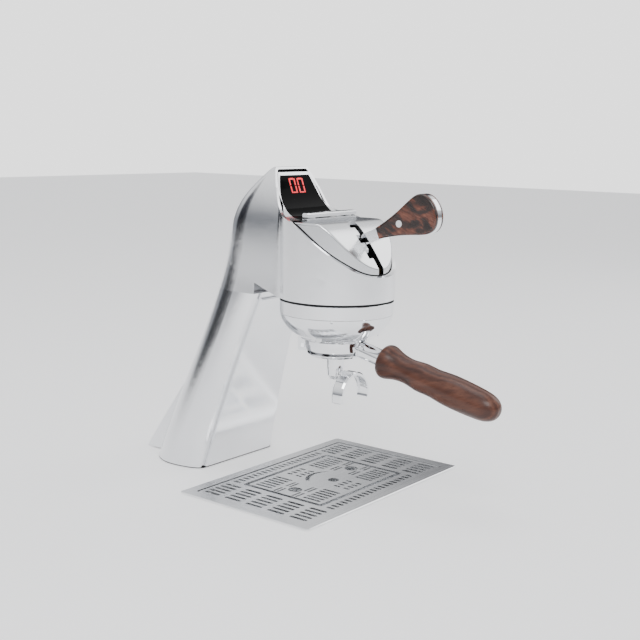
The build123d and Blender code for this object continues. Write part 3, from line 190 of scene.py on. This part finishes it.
def mixed(tree, fac, first, second, blend="MIX"):
    """Mix of two colour sockets, by a socket or a number."""
    node = tree.nodes.new("ShaderNodeMix")
    node.data_type = "RGBA"
    node.blend_type = blend
    if isinstance(fac, float):
        node.inputs["Factor"].default_value = fac
    else:
        tree.links.new(fac, node.inputs["Factor"])
    tree.links.new(first, node.inputs[6])
    tree.links.new(second, node.inputs[7])
    return node.outputs[2]


def summed(tree, first, second, weight):
    """first + weight x second."""
    node = tree.nodes.new("ShaderNodeMath")
    node.operation = "MULTIPLY_ADD"
    node.inputs[1].default_value = weight
    tree.links.new(second, node.inputs[0])
    tree.links.new(first, node.inputs[2])
    return node.outputs[0]


def bump(tree, height, depth, strength=1.0):
    """A bump of that depth in metres."""
    node = tree.nodes.new("ShaderNodeBump")
    node.inputs["Distance"].default_value = depth
    node.inputs["Strength"].default_value = strength
    tree.links.new(height, node.inputs["Height"])
    return node.outputs["Normal"]


def surface(name, metallic=0.0, **values):
    """A new material: its tree and its shader, with plain values set on the shader."""
    material = bpy.data.materials.new(name)
    material.use_nodes = True
    tree = material.node_tree
    shader = tree.nodes["Principled BSDF"]
    shader.inputs["Metallic"].default_value = metallic
    for socket, value in values.items():
        shader.inputs[socket.replace("_", " ")].default_value = value
    return material, tree, shader


def dress(tree, shader, colour=None, roughness=None, normal=None):
    """Link what varies over the surface to the shader."""
    for socket, value in (("Base Color", colour), ("Roughness", roughness), ("Normal", normal)):
        if value is not None:
            tree.links.new(value, shader.inputs[socket])


# ---------------------------------------------------------------- materials
def metal(name, dark, light, smooth, rough, cloud=9.0):
    """Polished metal: faint clouds in tone, fine polish marks in the gloss, and a very slight waviness."""
    material, tree, shader = surface(name, metallic=1.0)
    place = object_place(tree)
    clouds = noise(tree, place, cloud, 4)
    marks = noise(tree, object_place(tree, (160, 160, 900)), 1.0, 4, 0.65)
    gloss = summed(tree, clouds, marks, 0.5)
    dress(tree, shader,
          ramp(tree, clouds, [(0.3, dark), (0.7, light)]),
          between(tree, gloss, smooth, rough, 0.5, 1.0),
          bump(tree, noise(tree, place, 26, 2), 0.00002))
    return material


def brushed(name, dark, light, smooth, rough, grain=(7, 900, 900)):
    """Brushed sheet: long fine streaks in tone, gloss and height."""
    material, tree, shader = surface(name, metallic=1.0)
    streaks = noise(tree, object_place(tree, grain), 1.0, 5, 0.7)
    clouds = noise(tree, object_place(tree), 12, 3)
    tone = summed(tree, streaks, clouds, 0.45)
    dress(tree, shader,
          ramp(tree, tone, [(0.45, dark), (0.95, light)]),
          between(tree, tone, smooth, rough, 0.45, 1.0),
          bump(tree, streaks, 0.00002))
    return material


def cast(name, metallic, dark, light, smooth, rough, size=420, depth=0.00006, **values):
    """Moulded, plated or machined surface: a fine grain with broad soft changes of tone."""
    material, tree, shader = surface(name, metallic, **values)
    place = object_place(tree)
    grain = noise(tree, place, size, 4, 0.6)
    broad = noise(tree, place, 18, 3)
    tone = summed(tree, broad, grain, 0.4)
    dress(tree, shader,
          ramp(tree, tone, [(0.45, dark), (0.9, light)]),
          between(tree, tone, smooth, rough, 0.4, 1.0),
          bump(tree, grain, depth))
    return material


def walnut():
    """Oiled walnut turned along the portafilter's handle: long figure, dark lines and pores."""
    material, tree, shader = surface("walnut", Coat_Weight=0.12, Coat_Roughness=0.2, Specular_IOR_Level=0.3)
    turn = (-PORTAFILTER_DROOP, 0, 0)
    broad = noise(tree, object_place(tree, (34, 7, 34), turn), 1.0, 4, 0.55, 1.4)
    lines = wave(tree, object_place(tree, (30, 3.2, 30), turn), 1.6, 7.0, 4)
    fine = noise(tree, object_place(tree, (420, 16, 420), turn), 1.0, 3, 0.6)
    pores = noise(tree, object_place(tree, (900, 60, 900), turn), 1.0, 2, 0.5)
    figure = summed(tree, broad, lines, 0.35)
    wood = ramp(tree, figure,
                [(0.30, (0.034, 0.011, 0.007)), (0.60, (0.066, 0.022, 0.013)),
                 (0.80, (0.094, 0.034, 0.020)), (1.0, (0.120, 0.046, 0.028))])
    streak = ramp(tree, fine, [(0.35, (0.78, 0.74, 0.71)), (0.62, (1.0, 1.0, 1.0))])
    open_grain = ramp(tree, pores, [(0.30, (0.35, 0.30, 0.28)), (0.42, (1.0, 1.0, 1.0))])
    streaked = mixed(tree, 1.0, wood, streak, "MULTIPLY")
    colour = mixed(tree, 0.45, streaked, open_grain, "MULTIPLY")
    dress(tree, shader, colour, between(tree, fine, 0.26, 0.42), bump(tree, pores, 0.00012, 0.6))
    return material


def figured_wood():
    """Dark burr of the lever's scales: grey-brown with warm patches under a hard polish."""
    material, tree, shader = surface("dark_figured_wood", Coat_Weight=0.35, Coat_Roughness=0.08, Specular_IOR_Level=0.3)
    turn = (-LEVER_RISE, 0, 0)
    swirl = noise(tree, object_place(tree, (44, 22, 44), turn), 1.0, 4, 0.55, 2.0)
    eyes = wave(tree, object_place(tree, (26, 14, 26), turn), 1.8, 11.0, 4)
    fine = noise(tree, object_place(tree, (520, 60, 520), turn), 1.0, 3, 0.6)
    figure = summed(tree, swirl, eyes, 0.3)
    wood = ramp(tree, figure,
                [(0.40, (0.016, 0.010, 0.009)), (0.60, (0.034, 0.019, 0.016)),
                 (0.76, (0.115, 0.040, 0.026)), (0.95, (0.215, 0.080, 0.050))])
    streak = ramp(tree, fine, [(0.35, (0.60, 0.55, 0.55)), (0.62, (1.0, 1.0, 1.0))])
    colour = mixed(tree, 1.0, wood, streak, "MULTIPLY")
    dress(tree, shader, colour, between(tree, fine, 0.16, 0.30), bump(tree, swirl, 0.00005))
    return material


def black_glass():
    """Tinted cover glass: black, with a faint depth of tone and traces of wiping in its gloss."""
    material, tree, shader = surface("black_glass", Specular_IOR_Level=0.02)
    place = object_place(tree)
    clouds = noise(tree, place, 24, 3)
    wiped = noise(tree, object_place(tree, (30, 260, 260)), 1.0, 3)
    dress(tree, shader, ramp(tree, clouds, [(0.3, (0.0004, 0.0004, 0.0005)), (0.7, (0.0012, 0.0012, 0.0014))]),
          between(tree, wiped, 0.03, 0.08))
    return material


def lit_red():
    """The lit segments, a little uneven like real diodes."""
    material, tree, shader = surface("red_led", Roughness=0.35, Emission_Strength=1.1)
    uneven = noise(tree, object_place(tree), 260, 2)
    glow = ramp(tree, uneven, [(0.3, (0.80, 0.004, 0.012)), (0.7, (1.0, 0.012, 0.020))])
    tree.links.new(glow, shader.inputs["Emission Color"])
    dress(tree, shader, ramp(tree, uneven, [(0.3, (0.45, 0.01, 0.015)), (0.7, (0.60, 0.02, 0.03))]))
    return material


def counter_top():
    """Plain pale stone-like floor."""
    material, tree, shader = surface("pale_floor", Specular_IOR_Level=0.2,
                                     Emission_Color=(1, 1, 1, 1), Emission_Strength=0.25)
    grain = noise(tree, object_place(tree), 90, 3)
    colour = ramp(tree, grain, [(0.3, (0.885, 0.885, 0.89)), (0.7, (0.90, 0.90, 0.905))])
    dress(tree, shader, colour, between(tree, grain, 0.5, 0.6))
    return material


def board():
    """Green circuit board with a banded tone for its tracks."""
    material, tree, shader = surface("board_green", Coat_Weight=0.4)
    tracks = wave(tree, object_place(tree, (1, 1, 1)), 60, 2.0)
    colour = ramp(tree, tracks, [(0.45, (0.008, 0.090, 0.035)), (0.55, (0.020, 0.160, 0.070))])
    dress(tree, shader, colour, between(tree, tracks, 0.3, 0.45))
    return material


def make_materials():
    """One material for each of the record's slots."""
    return {
        "polished_aluminium": metal("polished_aluminium", (0.76, 0.77, 0.79), (0.86, 0.865, 0.88), 0.13, 0.20),
        "satin_aluminium": metal("satin_aluminium", (0.66, 0.67, 0.69), (0.74, 0.75, 0.765), 0.16, 0.26),
        "chrome_plated": metal("chrome_plated", (0.76, 0.77, 0.79), (0.85, 0.855, 0.87), 0.03, 0.07, 14),
        "black_rubber": cast("black_rubber", 0.0, (0.005, 0.005, 0.0055), (0.012, 0.012, 0.013), 0.55, 0.75,
                             600, 0.0001, Specular_IOR_Level=0.12),
        "black_trim": cast("black_trim", 0.0, (0.003, 0.003, 0.0035), (0.009, 0.009, 0.010), 0.10, 0.22,
                           300, 0.00002, Specular_IOR_Level=0.2),
        "plain_steel": cast("plain_steel", 1.0, (0.42, 0.43, 0.45), (0.62, 0.63, 0.65), 0.25, 0.45, 160, 0.00002),
        "stainless": brushed("stainless", (0.62, 0.63, 0.64), (0.80, 0.81, 0.82), 0.14, 0.28, (300, 300, 20)),
        "brushed_tray": brushed("brushed_tray", (0.74, 0.75, 0.765), (0.90, 0.905, 0.915), 0.18, 0.30),
        "raw_brass": cast("raw_brass", 1.0, (0.55, 0.36, 0.14), (0.76, 0.55, 0.26), 0.22, 0.40, 220, 0.00003),
        "hose_polymer": cast("hose_polymer", 0.0, (0.62, 0.62, 0.60), (0.78, 0.78, 0.76), 0.40, 0.55, 300),
        "black_polymer": cast("black_polymer", 0.0, (0.012, 0.012, 0.013), (0.035, 0.035, 0.037), 0.40, 0.60, 380),
        "board_green": board(),
        "walnut": walnut(),
        "dark_figured_wood": figured_wood(),
        "black_glass": black_glass(),
        "red_led": lit_red(),
    }


def paint(materials):
    """Give every CAD node the finish of its slot."""
    for part in frame["record"]["subparts"]:
        node = frame["nodes"][part["node"]]
        for slot in node.material_slots:
            slot.link = "OBJECT"
            slot.material = materials[part["material_slot"]]


def main():
    add_camera()
    paint(make_materials())
    add_floor(counter_top())
    add_world()
    add_light("key", (-1.6, -1.5, 1.9), (0, -0.1, 0.15), (1.2, 1.2), 32)
    add_light("fill", (1.9, -0.9, 1.2), (0, -0.1, 0.15), (0.9, 1.6), 9)
    add_light("top", (0.0, -0.1, 2.2), (0, -0.1, 0), (1.2, 1.2), 12)


main()
